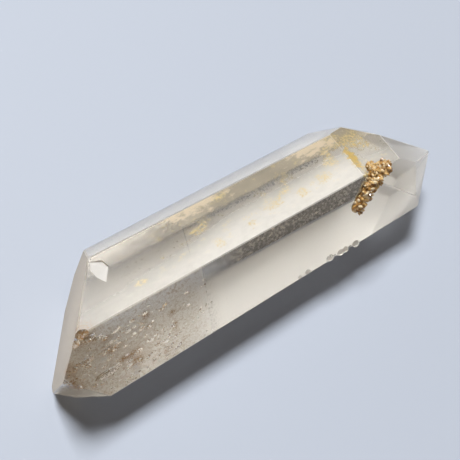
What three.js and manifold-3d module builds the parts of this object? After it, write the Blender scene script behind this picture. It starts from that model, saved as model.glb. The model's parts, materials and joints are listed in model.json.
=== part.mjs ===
// A golden healer quartz crystal: one six-sided prism of clear quartz with a bevelled point at one
// end and a slanting broken end at the other, and a crust of small iron-stained crystals in a hollow.
// Millimetres, +Z up. The crystal lies on one prism face with its long axis along X and its point
// towards +X.
import * as THREE from "three";
import { ConvexGeometry } from "three/addons/geometries/ConvexGeometry.js";
import { mergeVertices } from "three/addons/utils/BufferGeometryUtils.js";
import Module from "manifold-3d";

// Widths of the prism faces, measured across the long axis.
const TOP_WIDTH = 9.0;
const FRONT_WIDTH = 13.4;
const LOWER_WIDTH = 9.5;
const FOOT_WIDTH = 12.3;
const BACK_WIDTH = 11.8;

// Places along the axis, measured from the end of the ridge between the top and front faces.
const BEVEL_LENGTH = 10.7;
const FRONT_LENGTH_AT_EDGE = 13.6;
const BROKEN_END = -48.5;

// How the faces lean towards the point, in degrees from the long axis.
const TOP_BEVEL_LEAN = 16;
const TOP_POINT_LEAN = 30;
const BACK_TAPER = -2.2;

// The hollow by the point, and its crust.
const CRUST_GAP = 0.3;
const CRUST_PROUD = 0.6;
const CRUST_GRAINS = 56;
const GRAIN_SIZE = [0.45, 0.9];

// The etched field of pits on the front face, near the broken end.
const FIELD_PITS = 84;
const FIELD_LENGTH = 20;
const FIELD_DOWN = [2.2, 12.6];
const PIT_SIZE = [0.12, 0.34];
const LARGE_PIT_SIZE = [0.5, 0.3, 0.38];

const QUARTZ_COLOUR = 0xd8cfc0;
const CRUST_COLOUR = 0xb9802c;
const BLOCK = 200;

const wasm = await Module();
wasm.setup();

const radians = THREE.MathUtils.degToRad;
const vector = (x, y, z) => new THREE.Vector3(x, y, z);

// A closed three.js geometry as a solid that can be joined and cut.
function solidOf(geometry) {
  const bare = geometry.clone();
  bare.deleteAttribute("normal");
  bare.deleteAttribute("uv");
  const merged = mergeVertices(bare, 1e-4);
  const mesh = new wasm.Mesh({
    numProp: 3,
    vertProperties: new Float32Array(merged.attributes.position.array),
    triVerts: new Uint32Array(merged.index.array),
  });
  return new wasm.Manifold(mesh);
}

// A solid as a three.js geometry again.
function geometryOf(solid) {
  const mesh = solid.getMesh();
  const geometry = new THREE.BufferGeometry();
  geometry.setAttribute("position", new THREE.BufferAttribute(mesh.vertProperties, 3));
  geometry.setIndex(new THREE.BufferAttribute(mesh.triVerts, 1));
  geometry.computeVertexNormals();
  return geometry;
}

// Repeatable random numbers from 0 to 1.
function randomFrom(seed) {
  let state = seed;
  return () => {
    state = (state * 1664525 + 1013904223) % 4294967296;
    return state / 4294967296;
  };
}
const between = (random, [low, high]) => low + (high - low) * random();

// A face's outward direction: around is its turn about the long axis, 0 up and 90 to the front, and
// lean is how far it tips towards the point.
function facing({ around, lean }) {
  const a = radians(around);
  const l = radians(lean);
  return vector(Math.sin(l), -Math.cos(l) * Math.sin(a), Math.cos(l) * Math.cos(a));
}

// Cuts away all that lies outside a flat, given by its outward direction and a point on it.
function cutAlong(solid, normal, point) {
  const block = new THREE.BoxGeometry(BLOCK, BLOCK, BLOCK);
  const turn = new THREE.Quaternion().setFromUnitVectors(vector(0, 0, 1), normal);
  block.applyQuaternion(turn);
  const centre = point.clone().addScaledVector(normal, BLOCK / 2);
  block.translate(centre.x, centre.y, centre.z);
  return solid.subtract(solidOf(block));
}
const cutFace = (solid, face) => cutAlong(solid, facing(face), face.at);

// Down the slope of a prism face, across the long axis.
const downSlope = (around) => vector(0, -Math.cos(radians(around)), -Math.sin(radians(around)));

// The prism's long edges, as points at the ridge's end.
const ridge = vector(0, -TOP_WIDTH / 2, 0);
const backRidge = vector(0, TOP_WIDTH / 2, 0);
const frontEdge = ridge.clone().addScaledVector(downSlope(60), FRONT_WIDTH);
const footEdge = frontEdge.clone().addScaledVector(downSlope(120), LOWER_WIDTH);
const footBackEdge = footEdge.clone().addScaledVector(downSlope(180), FOOT_WIDTH);
const backEdge = backRidge.clone().addScaledVector(downSlope(-60), -BACK_WIDTH);

// A point on the front face, by its distance along the axis and its distance down from the ridge.
const onFront = (x, down) => ridge.clone().addScaledVector(downSlope(60), down).setX(x);

const prismFaces = [
  { name: "top", around: 0, lean: 0, at: ridge },
  { name: "front", around: 60, lean: 0, at: ridge },
  { name: "lower front", around: 120, lean: 0, at: frontEdge },
  { name: "foot", around: 180, lean: 0, at: footEdge },
  { name: "lower back", around: 240, lean: 0, at: footBackEdge },
  { name: "tapering back", around: 270, lean: BACK_TAPER, at: backEdge },
  { name: "back", around: 300, lean: 0, at: backRidge },
];

const bevelDrop = BEVEL_LENGTH * Math.tan(radians(TOP_BEVEL_LEAN));
const pointFaces = [
  { name: "top bevel", around: 0, lean: TOP_BEVEL_LEAN, at: ridge },
  { name: "top of point", around: 0, lean: TOP_POINT_LEAN, at: vector(BEVEL_LENGTH, 0, -bevelDrop) },
  { name: "front bevel", around: 42.8, lean: 13.3, at: ridge },
  { name: "front of point", around: 48.4, lean: 27.8, at: vector(15.3, -5.5, -5.86) },
  { name: "back of point", around: -57.3, lean: 31.3, at: vector(3.87, 5.08, -1.11) },
  { name: "under point", around: 147, lean: 26.5, at: frontEdge.clone().setX(FRONT_LENGTH_AT_EDGE) },
  { name: "lower back of point", around: 222, lean: 44, at: vector(21.6, -2.0, -12.8) },
];

const brokenFaces = [
  { name: "slanting end", around: -77.5, lean: -50.7, at: vector(BROKEN_END, 0, 0) },
  { name: "front corner", around: 98.8, lean: -39.3, at: vector(-54.7, -8.0, -6.1) },
  { name: "corner edge", around: 70, lean: -24, at: vector(-54.0, -8.35, -6.4) },
  { name: "corner foot", around: 128, lean: -40, at: vector(-53.2, -9.0, -15.5) },
];
const allFaces = [...prismFaces, ...pointFaces, ...brokenFaces];

// Edges worn to a narrow flat: the two faces that meet there, and the flat's width.
const wornEdges = [
  ["top", "front", 0.22],
  ["top", "back", 0.26],
  ["front", "lower front", 0.3],
  ["lower front", "foot", 0.3],
  ["foot", "lower back", 0.4],
  ["lower back", "tapering back", 0.3],
  ["tapering back", "back", 0.3],
  ["top", "top bevel", 0.3],
  ["top bevel", "front bevel", 0.3],
  ["top bevel", "top of point", 0.35],
  ["top bevel", "back of point", 0.25],
  ["front", "front bevel", 0.25],
  ["top of point", "front of point", 0.2],
  ["top of point", "back of point", 0.25],
  ["front of point", "under point", 0.25],
  ["top", "slanting end", 0.35],
  ["front", "corner edge", 0.3],
  ["back", "slanting end", 0.3],
];

// The flat chip by the back ridge: its outline on the top face, and how deep it is at each corner.
const chipOutline = [
  [-45.1, 3.9, 0.1],
  [-43.5, 3.3, 0.35],
  [-43.1, 2.2, 0.55],
  [-44.7, 0.2, 0.12],
  [-45.4, 1.4, 0.12],
  [-45.6, 2.7, 0.1],
];

// Scooped breaks: each is part of an ellipsoid sunk into the surface.
const scoops = [
  { name: "stained notch in the ridge", at: vector(-51.3, -4.7, 0.2), size: [1.3, 1.0, 1.0], turn: 0.4 },
  { name: "end of the notch", at: vector(-52.5, -5.0, -0.6), size: [1.0, 0.9, 0.9], turn: 1.1 },
  { name: "lower part of the notch", at: onFront(-50.3, 1.2), size: [1.1, 0.5, 0.8], turn: 0.2 },
  { name: "tail of the notch", at: onFront(-49.2, 1.9), size: [0.9, 0.3, 0.5], turn: 0.8 },
  { name: "pit at the broken corner", at: onFront(-53.9, 8.6), size: [0.7, 0.6, 1.2], turn: 0.5 },
  { name: "pit under the corner pit", at: onFront(-53.4, 10.2), size: [0.5, 0.5, 0.7], turn: 1.3 },
  { name: "dent below the field", at: onFront(-49.3, 8.9), size: [2.1, 0.4, 1.6], turn: 0 },
  { name: "first nick in the edge", at: onFront(-12.5, 12.9), size: [0.6, 0.5, 0.5], turn: 0.7 },
  { name: "second nick in the edge", at: onFront(-14.2, 13.0), size: [0.4, 0.4, 0.4], turn: 0.3 },
  { name: "break between the lumps", at: onFront(-6.4, 13.6), size: [0.9, 0.9, 0.8], turn: 0.6 },
  { name: "break after the lumps", at: onFront(-2.8, 13.6), size: [0.8, 0.8, 0.7], turn: 0.9 },
];

const lumps = [
  { at: onFront(-7.6, 12.7), size: [0.8, 0.6, 0.7] },
  { at: onFront(-5.2, 12.9), size: [0.7, 0.6, 0.6] },
  { at: onFront(-4.1, 12.9), size: [0.6, 0.6, 0.6] },
  { at: onFront(-1.7, 13.0), size: [0.8, 0.7, 0.6] },
];

// Larger pits of the etched field, as distances along the axis and down from the ridge.
const largePits = [
  [-42.0, 2.3],
  [-41.7, 5.0],
  [-38.3, 7.6],
  [-45.0, 3.7],
  [-48.5, 4.8],
  [-48.4, 2.5],
  [-44.0, 8.2],
  [-44.3, 10.0],
  [-41.9, 7.7],
  [-39.5, 11.3],
  [-46.0, 9.8],
  [-51.6, 5.6],
];

// The hollow's overlapping scoops, from the bevel down onto the front face.
const hollow = [
  { at: vector(6.0, -4.5, -1.7), radius: 1.5 },
  { at: vector(3.0, -3.9, -0.5), radius: 1.4 },
  { at: vector(3.8, -4.9, -1.5), radius: 1.9 },
  { at: vector(2.3, -5.3, -1.7), radius: 1.9 },
  { at: vector(1.0, -5.9, -2.6), radius: 1.8 },
  { at: vector(-0.2, -6.6, -3.7), radius: 1.7 },
  { at: vector(-1.3, -7.1, -4.6), radius: 1.3 },
];

// A faceted ellipsoid, which leaves flat flakes like broken quartz where it cuts.
function pebble({ at, size, detail = 1, turn = 0 }) {
  const geometry = new THREE.IcosahedronGeometry(1, detail);
  geometry.rotateX(turn);
  geometry.rotateZ(turn * 1.7);
  geometry.scale(...size);
  geometry.translate(at.x, at.y, at.z);
  return solidOf(geometry);
}

// The small pits of the etched field, thickest near the broken end.
function etchedPits() {
  const random = randomFrom(71);
  const pits = largePits.map(([x, down], i) =>
    pebble({ at: onFront(x, down), size: LARGE_PIT_SIZE, detail: 1, turn: i }),
  );
  for (let i = 0; i < FIELD_PITS; i++) {
    const x = BROKEN_END - 3 + FIELD_LENGTH * random() ** 1.5;
    const down = between(random, FIELD_DOWN);
    const size = between(random, PIT_SIZE);
    const at = onFront(x, down);
    pits.push(pebble({ at, size: [size * 1.5, size, size], detail: 0, turn: 6 * random() }));
  }
  return pits;
}

// Wears the edge between two faces to a flat of the given width.
function wearEdge(solid, [nameA, nameB, width]) {
  const [a, b] = [nameA, nameB].map((name) => allFaces.find((face) => face.name === name));
  const [normalA, normalB] = [facing(a), facing(b)];
  const cosine = normalA.dot(normalB);
  const [reachA, reachB] = [normalA.dot(a.at), normalB.dot(b.at)];
  const onEdge = normalA.clone().multiplyScalar(reachA - reachB * cosine);
  onEdge.addScaledVector(normalB, reachB - reachA * cosine).divideScalar(1 - cosine * cosine);
  const depth = (width / 2) * Math.tan(Math.acos(cosine) / 2);
  const normal = normalA.clone().add(normalB).normalize();
  return cutAlong(solid, normal, onEdge.addScaledVector(normal, -depth));
}

// The chip: a flat-bottomed break under its outline, open to the top face.
function chip() {
  const above = chipOutline.map(([x, y]) => vector(x, y, 1));
  const bottom = chipOutline.map(([x, y, depth]) => vector(x, y, -depth));
  return solidOf(new ConvexGeometry([...above, ...bottom]));
}

function quartzSolid() {
  let solid = solidOf(new THREE.BoxGeometry(BLOCK, BLOCK / 2, BLOCK / 2));
  for (const face of allFaces) {
    solid = cutFace(solid, face);
  }
  for (const edge of wornEdges) {
    solid = wearEdge(solid, edge);
  }
  for (const lump of lumps) {
    solid = solid.add(pebble(lump));
  }
  solid = solid.subtract(chip());
  for (const scoop of scoops) {
    solid = solid.subtract(pebble({ ...scoop, detail: 1 }));
  }
  for (const pit of etchedPits()) {
    solid = solid.subtract(pit);
  }
  for (const { at, radius } of hollow) {
    solid = solid.subtract(pebble({ at, size: [radius, radius, radius] }));
  }
  return solid;
}

// One small crystal of the crust: a short six-sided prism with a point at each end.
function grain(at, size, random) {
  const points = [vector(0, 0, 1.5 * size), vector(0, 0, -1.5 * size)];
  for (let i = 0; i < 6; i++) {
    const x = size * 0.62 * Math.cos(radians(60 * i));
    const y = size * 0.62 * Math.sin(radians(60 * i));
    points.push(vector(x, y, 0.7 * size), vector(x, y, -0.7 * size));
  }
  const geometry = new ConvexGeometry(points);
  geometry.rotateX(radians(360 * random()));
  geometry.rotateZ(radians(360 * random()));
  geometry.translate(at.x, at.y, at.z);
  return solidOf(geometry);
}

// The crust fills the hollow, clear of the quartz all round, and stands a little proud of the faces.
function crustSolid() {
  const random = randomFrom(29);
  const bed = hollow.map(({ at, radius }) => {
    const size = radius - 2 * CRUST_GAP;
    return pebble({ at: at.clone().add(vector(0, 0.25, -0.4)), size: [size, size, size], detail: 0 });
  });
  let solid = bed.reduce((sum, part) => sum.add(part));
  for (let i = 0; i < CRUST_GRAINS; i++) {
    const { at, radius } = hollow[i % hollow.length];
    const spot = vector(random() - 0.5, random() - 0.5, random() - 0.5);
    spot.multiplyScalar(1.5 * radius).add(at);
    solid = solid.add(grain(spot, between(random, GRAIN_SIZE), random));
  }
  const room = hollow.map(({ at, radius }) => {
    const size = radius - CRUST_GAP;
    return pebble({ at, size: [size, size, size] });
  });
  let crust = solid.intersect(room.reduce((sum, part) => sum.add(part)));
  for (const face of [...prismFaces, ...pointFaces]) {
    const at = face.at.clone().addScaledVector(facing(face), CRUST_PROUD);
    crust = cutFace(crust, { ...face, at });
  }
  return largestBody(crust);
}

// The crust's one large body, without loose crumbs and with the voids among its grains filled.
function largestBody(solid) {
  const bodies = solid.decompose();
  return bodies.reduce((largest, body) => (body.volume() > largest.volume() ? body : largest));
}

function part(name, solid, material) {
  const mesh = new THREE.Mesh(geometryOf(solid), material);
  mesh.name = name;
  return mesh;
}

const quartz = new THREE.MeshStandardMaterial({
  color: QUARTZ_COLOUR,
  roughness: 0.06,
  metalness: 0,
  transparent: true,
  opacity: 0.4,
});
const ironStain = new THREE.MeshStandardMaterial({
  color: CRUST_COLOUR,
  roughness: 0.45,
  metalness: 0,
});

const crystal = new THREE.Group();
crystal.add(part("quartz_crystal", quartzSolid(), quartz));
crystal.add(part("golden_druse", crustSolid(), ironStain));

// The origin is under the middle of the crystal, on the surface that it lies on.
const bounds = new THREE.Box3().setFromObject(crystal);
const middle = bounds.getCenter(new THREE.Vector3());
crystal.children.forEach((mesh) => mesh.geometry.translate(-middle.x, -middle.y, -bounds.min.z));

export default crystal;
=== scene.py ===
import json
import math
import random

import bpy
from mathutils import Euler, Matrix, Vector, noise

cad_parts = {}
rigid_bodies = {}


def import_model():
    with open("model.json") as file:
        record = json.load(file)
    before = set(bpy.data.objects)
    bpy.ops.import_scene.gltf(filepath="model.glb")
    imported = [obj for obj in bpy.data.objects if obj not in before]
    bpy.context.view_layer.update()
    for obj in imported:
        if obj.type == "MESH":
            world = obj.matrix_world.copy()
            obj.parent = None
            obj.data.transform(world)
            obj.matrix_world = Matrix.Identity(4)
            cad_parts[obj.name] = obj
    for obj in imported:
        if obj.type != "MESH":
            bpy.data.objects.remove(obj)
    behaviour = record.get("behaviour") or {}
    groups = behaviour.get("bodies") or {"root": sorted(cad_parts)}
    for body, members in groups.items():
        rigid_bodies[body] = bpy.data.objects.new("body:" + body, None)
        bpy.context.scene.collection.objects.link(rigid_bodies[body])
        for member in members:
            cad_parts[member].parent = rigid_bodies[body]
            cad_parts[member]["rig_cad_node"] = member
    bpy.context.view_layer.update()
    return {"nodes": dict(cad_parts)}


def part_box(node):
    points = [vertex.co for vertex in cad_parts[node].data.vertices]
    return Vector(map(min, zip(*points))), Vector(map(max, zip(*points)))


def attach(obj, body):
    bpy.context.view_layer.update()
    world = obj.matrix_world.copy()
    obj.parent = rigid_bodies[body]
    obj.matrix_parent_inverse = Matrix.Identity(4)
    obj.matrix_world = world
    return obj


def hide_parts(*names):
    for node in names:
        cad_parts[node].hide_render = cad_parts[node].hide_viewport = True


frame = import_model()

# Quartz crystal: one natural prism of clear, faintly smoky quartz that lies on a prism face, with a
# bevelled point, a slanting broken end, worn edges, a chip, pits and lumps. The imported solid is
# merged to whole faces, a rough slab cuts its etched field, and its stains are painted on, with
# painted light along the ridge, painted shade on the hidden lower back and painted glints.
MM = 0.001
POINT_PAST_RIDGE = 23.822 * MM
RIDGE_IN_FRONT = 7.2 * MM
PRISM_TURN = math.radians(60)
MERGE_REACH = 0.002 * MM

crystal_low, crystal_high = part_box("quartz_crystal")
ridge_end = Vector((
    crystal_high.x - POINT_PAST_RIDGE,
    crystal_low.y + RIDGE_IN_FRONT,
    crystal_high.z,
))


def only(obj):
    """Selects one object and makes it the active one."""
    if bpy.context.object and bpy.context.object.mode != "OBJECT":
        bpy.ops.object.mode_set(mode="OBJECT")
    bpy.ops.object.select_all(action="DESELECT")
    obj.select_set(True)
    bpy.context.view_layer.objects.active = obj


def merged_copy(node, name):
    """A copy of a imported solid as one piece, its loose triangles joined into whole flat faces."""
    piece = frame["nodes"][node].copy()
    piece.data = piece.data.copy()
    piece.name = name
    piece.data.name = name
    bpy.context.scene.collection.objects.link(piece)
    del piece["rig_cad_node"]
    piece.parent = None
    only(piece)
    bpy.ops.object.mode_set(mode="EDIT")
    bpy.ops.mesh.select_all(action="SELECT")
    bpy.ops.mesh.remove_doubles(threshold=MERGE_REACH)
    bpy.ops.object.mode_set(mode="OBJECT")
    piece.data.materials.clear()
    return piece


def facing(around, lean):
    """A face's outward direction: around is its turn about the long axis, 0 up and 90 to the front,
    and lean is how far it tips towards the point."""
    a = math.radians(around)
    b = math.radians(lean)
    return Vector((math.sin(b), -math.cos(b) * math.sin(a), math.cos(b) * math.cos(a)))


TOP = facing(0, 0)
FRONT = facing(60, 0)
BEVEL = facing(0, 16)


def on_front(along, down, proud):
    """A place by the front face, in mm along the axis, down from the ridge and out of the face."""
    slope = Vector((0, -math.cos(PRISM_TURN), -math.sin(PRISM_TURN)))
    return ridge_end + (Vector((along, 0, 0)) + slope * down + FRONT * proud) * MM


crystal = merged_copy("quartz_crystal", "quartz")

# The etched field: a slab with a rough under side, pressed into the front face near the broken end.
# All in mm: its place along the axis and down from the ridge, its depth, and how it thins out.
FIELD_FROM, FIELD_TO = -56.0, -24.0
FIELD_DOWN = 14.0
FIELD_STEP = 0.16
PIT_DEPTH = 0.42
FULL_LENGTH, THINS_OVER = 12.0, 18.0
WHOLE_RIM, RIM_FADES_OVER = 1.0, 3.0
CLEAR_OF_FACE = 0.1
SLAB_THICK = 2.0


def etch(along, down):
    """How deep the face is eaten away at a place on it, in mm; below nothing where it is whole."""
    thin_out = max(0.0, min(1.0, (along - FIELD_FROM - FULL_LENGTH) / THINS_OVER))
    low = max(0.0, min(1.0, (down - WHOLE_RIM) / RIM_FADES_OVER))
    patch = noise.noise(Vector((along * 0.19, down * 0.30, 4.0)))
    clump = noise.noise(Vector((along * 0.55, down * 0.75, 1.0))) + 0.55 * patch
    speck = noise.noise(Vector((along * 1.9, down * 2.6, 9.0)))
    depth = clump * 0.55 + speck * 0.75 - 0.28 - 0.42 * thin_out - 0.25 * (1.0 - low)
    return PIT_DEPTH * depth


columns = round((FIELD_TO - FIELD_FROM) / FIELD_STEP)
rows = round(FIELD_DOWN / FIELD_STEP)
bpy.ops.object.select_all(action="DESELECT")
bpy.ops.mesh.primitive_grid_add(x_subdivisions=columns, y_subdivisions=rows, size=1.0)
slab = bpy.context.object
for vertex in slab.data.vertices:
    along = FIELD_FROM + (vertex.co.x + 0.5) * (FIELD_TO - FIELD_FROM)
    down = (vertex.co.y + 0.5) * FIELD_DOWN
    vertex.co = on_front(along, down, -max(etch(along, down), -CLEAR_OF_FACE))
only(slab)
bpy.ops.object.mode_set(mode="EDIT")
bpy.ops.mesh.select_all(action="SELECT")
bpy.ops.mesh.extrude_region_move(TRANSFORM_OT_translate={"value": FRONT * SLAB_THICK * MM})
bpy.ops.mesh.select_all(action="SELECT")
bpy.ops.mesh.normals_make_consistent(inside=False)
bpy.ops.object.mode_set(mode="OBJECT")
only(crystal)
cut = crystal.modifiers.new("etched", "BOOLEAN")
cut.operation = "DIFFERENCE"
cut.solver = "EXACT"
cut.object = slab
bpy.ops.object.modifier_apply(modifier=cut.name)
bpy.data.objects.remove(slab)

# The crystal's flat faces, by their turn about the long axis and their lean towards the point.
UPPER_FACES = [TOP, FRONT, facing(270, -2.2), facing(300, 0)]
UNDERSIDE = [facing(180, 0), facing(120, 0)]
LOWER_BACK = [facing(240, 0)]
BEVELS = [BEVEL, facing(42.8, 13.3)]
POINT_FACES = [facing(0, 30), facing(48.4, 27.8), facing(-57.3, 31.3)]
UNDER_POINT = [facing(147, 26.5), facing(222, 44)]
BROKEN_END = [facing(-77.5, -50.7)]
BROKEN_CORNER = [facing(98.8, -39.3), facing(70, -24), facing(128, -40)]
PRISM_FACES = UPPER_FACES + UNDERSIDE + LOWER_BACK
PLAIN_FACES = PRISM_FACES + BEVELS + POINT_FACES + UNDER_POINT + BROKEN_END + BROKEN_CORNER
SAME_FACE = math.cos(math.radians(0.8))

# Where the chip, the pits and the crust's hollow lie, in mm from the ridge's end, and how long a
# worn flat is at least.
CHIP_FROM, CHIP_TO, CHIP_ACROSS, CHIP_FLOOR = -46.5, -42.0, 4.4, -1.0
HOLLOW_FROM, HOLLOW_TO, HOLLOW_ACROSS, HOLLOW_FLOOR = -3.2, 8.5, 2.6, -9.0
PITS_TO, PIT_REACH = -22.0, 2.2
WORN_LENGTH = 2.0


def lies_in(polygon, faces):
    """True where a polygon is part of one of the given flat faces."""
    return any(polygon.normal.dot(direction) > SAME_FACE for direction in faces)


def mark(name, chosen):
    """Keeps a number for each face of the crystal, for its material to read."""
    values = crystal.data.attributes.new(name, "FLOAT", "FACE").data
    for polygon, value in zip(crystal.data.polygons, values):
        centre = (polygon.center - ridge_end) / MM
        value.value = float(chosen(polygon, centre))


def in_chip(polygon, centre):
    """The chip's own faces, near the back ridge by the broken end."""
    in_place = CHIP_FROM < centre.x < CHIP_TO and centre.y > CHIP_ACROSS and centre.z > CHIP_FLOOR
    return in_place and not lies_in(polygon, PLAIN_FACES)


def is_worn(polygon, centre):
    """The narrow flats along the edges: long faces that are not plain."""
    if lies_in(polygon, PLAIN_FACES):
        return False
    corners = [crystal.data.vertices[i].co for i in polygon.vertices]
    return max((corner - corners[0]).length for corner in corners) > WORN_LENGTH * MM


def in_pit(polygon, centre):
    """The pits of the etched field and the wall of the crust's hollow."""
    plain = lies_in(polygon, PLAIN_FACES)
    if plain or is_worn(polygon, centre) or in_chip(polygon, centre):
        return False
    near_front = FRONT.dot(centre) > -PIT_REACH
    beside_crust = HOLLOW_FROM < centre.x < HOLLOW_TO and centre.y < HOLLOW_ACROSS
    in_hollow = beside_crust and centre.z > HOLLOW_FLOOR
    return near_front and (centre.x < PITS_TO or in_hollow)


def is_underside(polygon, centre):
    """The milky faces that the crystal lies on, fainter under the point."""
    if lies_in(polygon, UNDERSIDE):
        return 1.0
    return 0.7 if lies_in(polygon, UNDER_POINT) else 0.0


def is_lower_back(polygon, centre):
    """The hidden face that carries the painted shade, a dark grainy layer seen through the front
    face.
    """
    return lies_in(polygon, LOWER_BACK)


def is_broken(polygon, centre):
    """The slanting broken end, and its broken corner, which is clearer."""
    if lies_in(polygon, BROKEN_END):
        return 1.0
    return 0.4 if lies_in(polygon, BROKEN_CORNER) else 0.0


mark("chip", in_chip)
mark("pit", in_pit)
mark("worn", is_worn)
mark("underside", is_underside)
mark("lower_back", is_lower_back)
mark("broken", is_broken)


class Wire:
    """A shader socket that can be added, multiplied and compared in a Python expression."""

    def __init__(self, shader, socket):
        self.shader = shader
        self.socket = socket

    def math(self, operation, a, b):
        return self.shader.node("ShaderNodeMath", {"operation": operation}, {0: a, 1: b})

    def __add__(self, other):
        return self.math("ADD", self, other)

    def __radd__(self, other):
        return self.math("ADD", other, self)

    def __sub__(self, other):
        return self.math("SUBTRACT", self, other)

    def __rsub__(self, other):
        return self.math("SUBTRACT", other, self)

    def __mul__(self, other):
        return self.math("MULTIPLY", self, other)

    def __rmul__(self, other):
        return self.math("MULTIPLY", other, self)

    def __gt__(self, other):
        return self.math("GREATER_THAN", self, other)

    def __abs__(self):
        return self.shader.node("ShaderNodeMath", {"operation": "ABSOLUTE"}, {0: self})


class Shader:
    """A material's node tree, with one method that adds any node."""

    RIM_RAGGED = 4.0
    RIM_OUTSIDE, RIM_INSIDE = 1.05, 0.35

    def __init__(self, name):
        self.material = bpy.data.materials.new(name)
        self.material.use_nodes = True
        self.tree = self.material.node_tree
        self.tree.nodes.clear()
        self.output = self.tree.nodes.new("ShaderNodeOutputMaterial")

    def node(self, kind, settings, inputs, out=0):
        node = self.tree.nodes.new(kind)
        for key, value in settings.items():
            if key == "stops":
                self.set_stops(node.color_ramp, value)
            else:
                setattr(node, key, value)
        for key, value in inputs.items():
            if isinstance(value, Wire):
                self.tree.links.new(value.socket, node.inputs[key])
            else:
                node.inputs[key].default_value = value
        return Wire(self, node.outputs[out])

    @staticmethod
    def set_stops(ramp, stops):
        while len(ramp.elements) < len(stops):
            ramp.elements.new(0.5)
        for element, (position, colour) in zip(ramp.elements, stops):
            element.position = position
            element.color = colour

    def place(self):
        """Where a point is, in mm from the ridge's end."""
        point = self.node("ShaderNodeTexCoord", {}, {}, "Object")
        moved = {"Vector": point, "Location": ridge_end * (-1 / MM), "Scale": (1 / MM,) * 3}
        return self.node("ShaderNodeMapping", {}, moved)

    def split(self, vector):
        parts = self.node("ShaderNodeSeparateXYZ", {}, {0: vector}).socket.node
        return [Wire(self, output) for output in parts.outputs]

    def cloud(self, vector, scale, detail=4.0, roughness=0.55):
        inputs = {"Vector": vector, "Scale": scale, "Detail": detail, "Roughness": roughness}
        return self.node("ShaderNodeTexNoise", {}, inputs)

    def fade(self, value, low, high):
        """0 below low, 1 above high and smooth between; the other way round if low is higher."""
        if low > high:
            return 1 - self.fade(value, high, low)
        settings = {"interpolation_type": "SMOOTHSTEP"}
        inputs = {"Value": value, "From Min": low, "From Max": high}
        return self.node("ShaderNodeMapRange", settings, inputs)

    def spot(self, point, centre, reach, ragged):
        """1 at a place and 0 beyond its reach along each axis, with a ragged rim."""
        scale = [1 / r for r in reach]
        location = [-c * s for c, s in zip(centre, scale)]
        inputs = {"Vector": point, "Location": location, "Scale": scale}
        moved = self.node("ShaderNodeMapping", {}, inputs)
        away = self.node("ShaderNodeVectorMath", {"operation": "LENGTH"}, {0: moved}, "Value")
        rim = away + (ragged - 0.5) * self.RIM_RAGGED
        return self.fade(rim, self.RIM_OUTSIDE, self.RIM_INSIDE)

    def attribute(self, name):
        return self.node("ShaderNodeAttribute", {"attribute_name": name}, {}, "Fac")

    def blend(self, factor, first, second):
        """One colour where the factor is 0 and another where it is 1."""
        inputs = {0: factor, 6: first, 7: second}
        return self.node("ShaderNodeMix", {"data_type": "RGBA"}, inputs, 2)

    def coat(self, under, over, factor):
        """Lays one surface over another where the factor is 1."""
        return self.node("ShaderNodeMixShader", {}, {0: factor, 1: under, 2: over})

    def finish(self, surface, volume=None):
        self.tree.links.new(surface.socket, self.output.inputs["Surface"])
        if volume is not None:
            self.tree.links.new(volume.socket, self.output.inputs["Volume"])
        return self.material


QUARTZ_IOR = 1.544
SMOKY_TINT = (0.93, 0.84, 0.68, 1.0)
SMOKY_DENSITY = 15.0
CLEAR_FACE = (1.0, 0.985, 0.96, 1.0)
IRON_GOLD = (0.52, 0.34, 0.07, 1.0)
PALE_GOLD = (0.62, 0.50, 0.25, 1.0)
IRON_BROWN = (0.29, 0.135, 0.028, 1.0)
SPECK_GREY = (0.13, 0.12, 0.11, 1.0)
# The ridge veil's cream is partly painted light; the worn flats share it as their own frosting.
RIDGE_LIGHT_AND_WEAR_CREAM = (0.73, 0.68, 0.61, 1.0)
UNDER_CREAM = (0.97, 0.95, 0.925, 1.0)
# The lower back's dark is painted shade; its light grains are the face's own texture.
BACK_PAINTED_SHADE = (0.15, 0.128, 0.10, 1.0)
BACK_GRAIN = (0.84, 0.77, 0.65, 1.0)
BREAK_TAN = (0.47, 0.37, 0.25, 1.0)
GRIT_TAN = (0.42, 0.32, 0.19, 1.0)
KHAKI = (0.49, 0.41, 0.29, 1.0)
PEACH = (0.68, 0.53, 0.355, 1.0)
# A fresh break's white, which the painted glints share as painted highlights.
CHIP_WHITE_AND_GLINT = (0.65, 0.61, 0.56, 1.0)

# Places in mm: along the axis, across from the ridge, and half their length and width.
TOP_FLECKS = [
    (-29.2, 5.1, 1.7, 0.9), (-27.6, 6.0, 1.5, 0.7), (-23.2, 8.1, 1.5, 0.8), (-27.6, 2.1, 0.9, 0.9),
    (-21.3, 1.9, 0.8, 0.7), (-16.4, 3.1, 2.0, 0.9), (-13.4, 4.1, 1.3, 0.8), (-11.0, 2.5, 1.2, 0.9),
    (-12.2, 6.1, 1.5, 0.8), (-40.7, 2.3, 0.9, 0.6), (-3.4, 5.1, 1.6, 1.5), (-6.2, 2.9, 1.7, 1.0),
]
# Places on the front face in mm: along the axis, down from the ridge, and half their length and
# width.
RUST_CLUMPS = [
    (-41.9, 2.7, 1.0, 1.1), (-41.7, 5.0, 0.9, 0.7), (-48.2, 2.9, 1.2, 0.7), (-47.6, 5.2, 1.9, 1.0),
    (-44.9, 8.0, 1.7, 0.8), (-44.8, 9.8, 1.8, 1.2), (-39.8, 11.3, 1.0, 0.8), (-46.7, 8.0, 1.0, 0.7),
    (-38.0, 4.9, 0.9, 0.7), (-37.9, 7.5, 0.6, 1.5),
]
# Places of the painted glints on the front face, white spots painted in as highlights: in mm along
# the axis, down from the ridge, and half their length and width.
PAINTED_GLINTS = [
    (-49.3, 6.1, 0.5, 0.35), (-45.2, 10.7, 0.55, 0.5), (-45.1, 11.8, 0.6, 0.45),
    (-42.6, 10.2, 0.4, 0.4),
]


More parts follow.
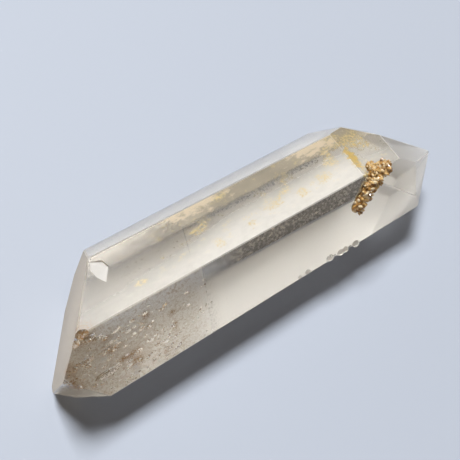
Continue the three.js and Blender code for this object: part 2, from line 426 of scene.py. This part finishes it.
def clear_quartz():
    """Clear quartz with its golden film, specks, etched field, stained pits and milky underside,
    with painted light along the ridge, painted shade on the lower back and painted glints.
    """
    shader = Shader("clear_quartz")
    fade = shader.fade
    point = shader.place()
    along, across, height = shader.split(point)
    stretched = shader.node("ShaderNodeMapping", {}, {"Vector": point, "Scale": (0.45, 1.0, 1.0)})
    grain = shader.cloud(point, 2.4, 6.0, 0.7)
    fine = shader.cloud(point, 6.0, 3.0, 0.6)
    patches = shader.cloud(stretched, 0.32, 2.0, 0.5)
    clumps = shader.cloud(stretched, 1.1, 5.0, 0.65)

    on_top = fade(height, -0.03, -0.01) * fade(across, -0.2, 0.2)
    bevel_height = along * BEVEL.x + height * BEVEL.z
    on_bevel = fade(bevel_height, -0.03, -0.01) * (along > 0.0)
    on_both = on_top + on_bevel
    front_height = across * FRONT.y + height * FRONT.z
    face_down = height * (-1 / math.sin(PRISM_TURN))
    front = fade(front_height, -0.05, -0.01) * (face_down > 0.05)
    pit = shader.attribute("pit")
    chip = shader.attribute("chip")
    worn = shader.attribute("worn")
    underside = shader.attribute("underside")
    lower_back = shader.attribute("lower_back")

    # The golden film: faint flecks over the top face and denser ones in their places, a stripe and
    # a patch by the point.
    flecks = fade(clumps, 0.53, 0.64) * fade(along, -46.0, -34.0) * fade(across, 0.8, 2.6) * 0.35
    for x, y, long, wide in TOP_FLECKS:
        flecks = flecks + shader.spot(point, (x, y, 0), (long, wide, 2.0), clumps) * 0.8
    stripe = shader.spot(point, (0.9, 3.5, 0), (1.2, 3.0, 2.0), clumps) * 1.2
    upper_patch = shader.spot(point, (4.0, 6.8, 0), (6.4, 2.6, 4.0), patches) * 0.7
    broken_up = 0.12 + fade(grain, 0.43, 0.60)
    film = ((flecks + upper_patch) * broken_up + stripe * (0.6 + 0.4 * broken_up)) * on_both

    # Khaki film along the back ridge, with two peach glows in it.
    by_back = fade(across, 6.0, 7.0) * fade(along, -37.0, -29.0)
    khaki = by_back * (0.42 + (patches - 0.5) * 0.5) * on_both
    left_glow = shader.spot(point, (-27.0, 9.0, 0), (6.5, 1.9, 3.0), clumps)
    right_glow = shader.spot(point, (-4.0, 8.8, 0), (5.5, 2.2, 3.0), clumps)
    glow = (left_glow + right_glow) * 0.6 * on_both

    # Dark specks in a broken line along the top face, and a fine crack across it.
    off_line = abs(across - 6.2 + (patches - 0.5) * 0.8)
    on_line = fade(along, -31.0, -27.5) * fade(along, -3.0, -7.0) * on_top
    specks = fade(off_line, 0.65, 0.15) * (0.25 + fade(grain, 0.5, 0.6)) * on_line
    off_crack = abs(along + 33.25 - across * 0.355)
    crack = fade(off_crack, 0.11, 0.03) * fade(across, 2.2, 3.2) * fade(across, 7.2, 6.6) * on_top

    # A milky veil on the top face, close along the ridge and thinner away from it. It is partly
    # painted light: it stands in for light shining through the crystal.
    near_ridge = fade(across - 1.3 * fade(along, -34.0, -22.0), 5.4, 0.6)
    left_part = 0.52 + 0.48 * fade(along, -47.0, -28.0)
    painted_light_veil = (0.08 + 0.80 * near_ridge) * left_part * (0.78 + 0.44 * clumps) * on_top
    painted_light_bevel_veil = fade(across, 6.0, 2.0) * 0.36 * on_bevel

    def front_spots(places, ragged):
        """All the spots of a list of places on the front face."""
        spots = 0.0
        for x, down, long, wide in places:
            centre = (x, -math.cos(PRISM_TURN) * down, -math.sin(PRISM_TURN) * down)
            spots = spots + shader.spot(point, centre, (long, wide, wide), ragged)
        return spots

    # The etched field on the front face, with rust in its places and small white spots in theirs,
    # which are painted glints, painted highlights.
    near_end = fade(along, -29.0, -37.0)
    field = front * near_end
    clots = front_spots(RUST_CLUMPS, grain)
    painted_glints = front_spots(PAINTED_GLINTS, fine) * 0.8
    crumbs = fade(grain * 0.5 + fine * 0.5, 0.47, 0.55)
    broad = shader.spot(point, (-45.5, -4.2, -7.3), (6.0, 3.0, 3.8), clumps) * field * 0.22
    scattered_rust = field * fade(grain * 0.6 + clumps * 0.4, 0.51, 0.60) * 0.35
    rust = clots * front * (0.28 + 0.7 * crumbs) + scattered_rust + broad
    grit = field * (0.32 + 0.34 * fade(fine * 0.5 + grain * 0.5, 0.44, 0.58))
    notch = shader.spot(point, (-50.9, -0.2, -0.5), (2.5, 2.5, 2.5), grain) * (0.15 + 0.7 * crumbs)
    cleft = shader.spot(point, (-54.2, -4.3, -7.6), (1.4, 2.0, 2.9), grain) * (0.6 + 0.4 * crumbs)
    corner = shader.spot(point, (-54.0, -2.5, -4.4), (1.2, 1.6, 2.4), grain) * 0.5

    # The painted shade on the lower back: a dark grainy layer on the hidden face, seen through the
    # front face as a dark band. Then the hollow's golden lining, and the stain in the pits.
    stain_and_shade = lower_back * fade(along + (patches - 0.5) * 14.0, -36.0, -18.0) * 0.96
    light_grains = fade(grain * 0.8 + fine * 0.2, 0.49, 0.60)
    shade_and_grain = shader.blend(light_grains, BACK_PAINTED_SHADE, BACK_GRAIN)
    gold = shader.blend(fine - stripe, IRON_GOLD, PALE_GOLD)
    lining = pit * (along > -4.0)
    pit_stain = pit * fade(clumps * 0.5 + fine * 0.5, 0.42, 0.56) * (1 - lining)

    # How rough the clear faces are, and the fine relief that every layer shares.
    hazy = on_top * 0.09 + fade(along, 0.0, 4.0) * 0.14 + front * fade(along, -20.0, -32.0) * 0.16
    rough = 0.03 + hazy + field * 0.16 + underside * 0.5 + worn * 0.3 + near_end * 0.1
    bump_height = grain * (0.15 + field * 1.6) + fine * (0.04 + field * 0.9)
    bump = {"Strength": 0.4, "Distance": 0.08 * MM, "Height": bump_height}
    relief = shader.node("ShaderNodeBump", {}, bump)

    def layer(colour, roughness, transmission):
        """One kind of surface, by its colour, roughness and how much light goes through."""
        inputs = {
            "Base Color": colour,
            "Roughness": roughness,
            "IOR": QUARTZ_IOR,
            "Transmission Weight": transmission,
            "Normal": relief,
        }
        return shader.node("ShaderNodeBsdfPrincipled", {}, inputs)

    # The clear quartz, and what lies over it from the lowest layer to the topmost.
    surface = layer(CLEAR_FACE, rough, 1.0)
    layers = [
        (layer(UNDER_CREAM, 0.8, 0.0), underside * 0.94),
        # Painted shade on the hidden lower back, with its light grains.
        (layer(shade_and_grain, 0.8, 0.0), stain_and_shade),
        (layer(BREAK_TAN, 0.5, 0.3), shader.attribute("broken") * 0.75),
        # Partly painted light: the milky veil along the ridge, with the worn flats' own frosting.
        (layer(RIDGE_LIGHT_AND_WEAR_CREAM, 0.6, 0.35), painted_light_veil + painted_light_bevel_veil + worn * 0.2),
        (layer(KHAKI, 0.6, 0.1), khaki),
        (layer(PEACH, 0.6, 0.1), glow),
        (layer(gold, 0.5, 0.2), film),
        (layer(SPECK_GREY, 0.5, 0.0), specks * 0.85 + crack * 0.5),
        (layer(GRIT_TAN, 0.5, 0.3), grit),
        (layer(IRON_BROWN, 0.5, 0.2), rust + notch + cleft + corner),
        # Painted highlights: the white glints of the etched field.
        (layer(CHIP_WHITE_AND_GLINT, 0.3, 0.0), painted_glints),
        (layer(gold, 0.5, 0.2), lining * 0.7),
        (layer(IRON_BROWN, 0.4, 0.4), pit_stain * 0.6),
        (layer(CHIP_WHITE_AND_GLINT, 0.35, 0.1), chip * 0.85),
    ]
    for over, factor in layers:
        surface = shader.coat(surface, over, factor)
    smoke = {"Color": SMOKY_TINT, "Density": SMOKY_DENSITY}
    return shader.finish(surface, shader.node("ShaderNodeVolumeAbsorption", {}, smoke))


crystal.data.materials.append(clear_quartz())
for polygon in crystal.data.polygons:
    polygon.use_smooth = False
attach(crystal, "root")
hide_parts("quartz_crystal")

# Golden crust: small iron-stained crystals that fill the hollow by the point. One six-sided crystal
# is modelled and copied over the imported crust. Each copy is turned and sized by itself and joined.
GRAINS = 560
GRAIN_WIDTH = (0.14 * MM, 0.30 * MM)
GRAIN_STRETCH = (0.8, 1.4)
LEANS_OUT, LEANS_FREELY = 0.5, 0.9
CRUST_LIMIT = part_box("golden_druse")[1].z

# The crystal that is copied: its length, its tip's length and the tip's end, all by its half width.
FORM_LENGTH, TIP_LENGTH, TIP_WIDTH = 2.4, 0.9, 0.12

crust = merged_copy("golden_druse", "golden_crust")
bpy.ops.object.select_all(action="DESELECT")
bpy.ops.mesh.primitive_cylinder_add(
    vertices=6, radius=1.0, depth=FORM_LENGTH, end_fill_type="NGON", location=(0, 0, 0)
)
grain_form = bpy.context.object
bpy.ops.object.mode_set(mode="EDIT")
bpy.ops.mesh.select_mode(type="FACE")
bpy.ops.mesh.select_all(action="DESELECT")
bpy.ops.object.mode_set(mode="OBJECT")
for polygon in grain_form.data.polygons:
    polygon.select = polygon.normal.z > 0.9
bpy.ops.object.mode_set(mode="EDIT")
bpy.ops.mesh.extrude_region_move(TRANSFORM_OT_translate={"value": (0, 0, TIP_LENGTH)})
bpy.ops.transform.resize(value=(TIP_WIDTH, TIP_WIDTH, 1.0))
bpy.ops.object.mode_set(mode="OBJECT")


def scattered(mesh, count, chance):
    """Places on a mesh with their outward direction, spread evenly by area."""
    mesh.calc_loop_triangles()
    triangles = [t for t in mesh.loop_triangles if t.area > 0]
    weights = [t.area for t in triangles]
    for triangle in chance.choices(triangles, weights, k=count):
        a, b, c = (mesh.vertices[i].co for i in triangle.vertices)
        u, v = chance.random(), chance.random()
        if u + v > 1:
            u, v = 1 - u, 1 - v
        yield a + (b - a) * u + (c - a) * v, triangle.normal.copy()


chance = random.Random(5)
out_of_hollow = (FRONT * 0.6 + BEVEL).normalized()
grains = []
for spot, outward in list(scattered(crust.data, GRAINS, chance)):
    lean = Vector(chance.uniform(-1, 1) for _ in range(3))
    direction = (outward + out_of_hollow * LEANS_OUT + lean * LEANS_FREELY).normalized()
    width = chance.uniform(*GRAIN_WIDTH)
    turn = direction.to_track_quat("Z", "Y").to_matrix().to_4x4()
    twist = Matrix.Rotation(chance.uniform(0, math.pi), 4, "Z")
    stretch = Matrix.Diagonal((width, width, width * chance.uniform(*GRAIN_STRETCH), 1.0))
    form = grain_form.data.copy()
    form.transform(Matrix.Translation(spot) @ turn @ twist @ stretch)
    if max(vertex.co.z for vertex in form.vertices) > CRUST_LIMIT:
        bpy.data.meshes.remove(form)
        continue
    shade = chance.random()
    for value in form.attributes.new("tint", "FLOAT", "FACE").data:
        value.value = shade
    grain = bpy.data.objects.new("grain", form)
    bpy.context.scene.collection.objects.link(grain)
    grains.append(grain)
bpy.data.objects.remove(grain_form)
for value in crust.data.attributes.new("tint", "FLOAT", "FACE").data:
    value.value = chance.random()
only(crust)
for grain in grains:
    grain.select_set(True)
bpy.ops.object.join()


def iron_crust():
    """Sugary iron-stained quartz, toned from pale gold to dark brown at random by grain and by a
    cloud.
    """
    shader = Shader("iron_stained_crust")
    tint = shader.attribute("tint")
    point = shader.place()
    stain_and_shade = shader.cloud(point, 1.3, 4.0, 0.6)
    tone = tint * 0.6 + stain_and_shade * 0.4
    stops = [
        (0.22, (0.22, 0.10, 0.03, 1.0)),
        (0.42, (0.55, 0.29, 0.08, 1.0)),
        (0.62, (0.82, 0.53, 0.21, 1.0)),
        (0.82, (0.97, 0.82, 0.56, 1.0)),
    ]
    colour = shader.node("ShaderNodeValToRGB", {"stops": stops}, {0: tone})
    inputs = {
        "Base Color": colour,
        "Roughness": 0.16,
        "IOR": QUARTZ_IOR,
        "Transmission Weight": 0.25,
    }
    return shader.finish(shader.node("ShaderNodeBsdfPrincipled", {}, inputs))


crust.data.materials.clear()
crust.data.materials.append(iron_crust())
for polygon in crust.data.polygons:
    polygon.material_index = 0
    polygon.use_smooth = False
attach(crust, "root")
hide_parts("golden_druse")

# Table: a plain pale floor, just clear of the crystal's underside.
FLOOR_SIZE = 3.0
FLOOR_GAP = 0.08 * MM
FLOOR_BLUE = (0.39, 0.41, 0.46, 1.0)
bpy.ops.object.select_all(action="DESELECT")
bpy.ops.mesh.primitive_plane_add(size=FLOOR_SIZE, location=(0, 0, -FLOOR_GAP))
floor = bpy.context.object
floor.name = "floor"
paint = Shader("pale_floor")
matt = paint.node("ShaderNodeBsdfPrincipled", {}, {"Base Color": FLOOR_BLUE, "Roughness": 0.7})
floor.data.materials.append(paint.finish(matt))

# Camera: close over the broken end, looking along the crystal to its point.
camera_data = bpy.data.cameras.new("camera")
camera_data.sensor_width = 36.0
camera_data.lens = 54.78
camera_data.clip_start = 0.005
camera_data.clip_end = 20.0
camera = bpy.data.objects.new("camera", camera_data)
camera.location = ridge_end + Vector((-69.052, -24.577, 87.868)) * MM
camera.rotation_euler = Euler([math.radians(turn) for turn in (28.0365, -12.6375, -35.7886)])
bpy.context.scene.collection.objects.link(camera)
bpy.context.scene.camera = camera

# Light: a soft window high behind the crystal, and a room that is dim overhead and pale low down.
WINDOW_TURN = math.radians(95)
WINDOW_HEIGHT = math.radians(67)
WINDOW_AWAY = 1.6
panel_data = bpy.data.lights.new("window", "AREA")
panel_data.shape = "SQUARE"
panel_data.size = 0.45
panel_data.energy = 39.5
panel_data.color = (0.92, 0.96, 1.0)
panel = bpy.data.objects.new("window", panel_data)
panel.location = WINDOW_AWAY * Vector((
    math.cos(WINDOW_TURN) * math.cos(WINDOW_HEIGHT),
    math.sin(WINDOW_TURN) * math.cos(WINDOW_HEIGHT),
    math.sin(WINDOW_HEIGHT),
))
panel.rotation_euler = panel.location.to_track_quat("Z", "Y").to_euler()
bpy.context.scene.collection.objects.link(panel)

world = bpy.data.worlds.new("room")
world.use_nodes = True
room = world.node_tree
background = room.nodes["Background"]
direction_in = room.nodes.new("ShaderNodeTexCoord")
parts = room.nodes.new("ShaderNodeSeparateXYZ")
walls = room.nodes.new("ShaderNodeValToRGB")
Shader.set_stops(walls.color_ramp, [
    (0.0, (0.54, 0.495, 0.43, 1.0)),
    (0.25, (0.385, 0.352, 0.306, 1.0)),
    (0.6, (0.117, 0.107, 0.095, 1.0)),
    (1.0, (0.07, 0.066, 0.06, 1.0)),
])
room.links.new(direction_in.outputs["Generated"], parts.inputs[0])
room.links.new(parts.outputs["Z"], walls.inputs[0])
room.links.new(walls.outputs["Color"], background.inputs["Color"])
bpy.context.scene.world = world
bpy.context.scene.view_settings.view_transform = "Standard"
bpy.context.scene.cycles.max_bounces = 32
bpy.context.scene.cycles.glossy_bounces = 24
bpy.context.scene.cycles.transmission_bounces = 24
